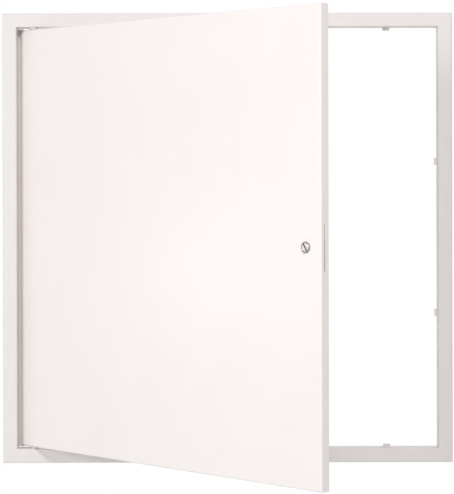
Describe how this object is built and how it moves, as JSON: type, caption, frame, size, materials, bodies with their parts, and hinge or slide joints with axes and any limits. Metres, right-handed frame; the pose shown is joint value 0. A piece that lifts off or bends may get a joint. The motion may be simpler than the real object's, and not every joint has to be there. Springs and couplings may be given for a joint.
{
  "type": "ceiling access panel",
  "caption": "Square steel access panel: a mitred picture frame with a flange, a flush pan door on a concealed rod hinge, and a slotted cam latch.",
  "frame": {"origin": "centre of the clear opening, on the plane where the flange's lip meets the ceiling", "axes": "+X to the latch side, +Y into the ceiling void, +Z along the hinge, upwards as pictured"},
  "size_m": [0.64, 0.4393, 0.64],
  "materials": {
    "white_powder_coat": "satin white powder coat",
    "zinc_plate": "bright zinc plate",
    "nickel_plate": "nickel plate",
    "grey_nylon": "pale grey nylon"
  },
  "bodies": {
    "frame": {"frame_top_rail": "white_powder_coat", "frame_bottom_rail": "white_powder_coat", "frame_hinge_stile": "white_powder_coat", "frame_latch_stile": "white_powder_coat", "corner_plate_top_left": "white_powder_coat", "corner_plate_top_right": "white_powder_coat", "corner_plate_bottom_left": "white_powder_coat", "corner_plate_bottom_right": "white_powder_coat", "hinge_rod": "zinc_plate", "hinge_bush_top": "grey_nylon", "hinge_bush_bottom": "grey_nylon", "rod_clip_top": "zinc_plate", "rod_clip_bottom": "zinc_plate"},
    "door": {"door_pan": "white_powder_coat", "door_stiffener": "white_powder_coat", "hinge_knuckle_top": "white_powder_coat", "hinge_knuckle_middle": "white_powder_coat", "hinge_knuckle_bottom": "white_powder_coat", "latch_housing": "nickel_plate", "latch_locknut": "zinc_plate"},
    "latch": {"latch_plug": "nickel_plate", "cam_stop_washer": "zinc_plate", "latch_cam": "zinc_plate", "cam_washer": "zinc_plate", "cam_nut": "zinc_plate"}
  },
  "joints": [
    {"name": "door_swing", "type": "hinge", "parent": "frame", "child": "door", "pos_m": [-0.276, 0.0045, 0], "axis": [0, 0, -1], "range_deg": [-46.5, 73.5]},
    {"name": "latch_turn", "type": "hinge", "parent": "door", "child": "latch", "pos_m": [0.09578, -0.39817, 0], "axis": [-0.7254, -0.6884, 0], "range_deg": [-33, 57]}
  ]
}
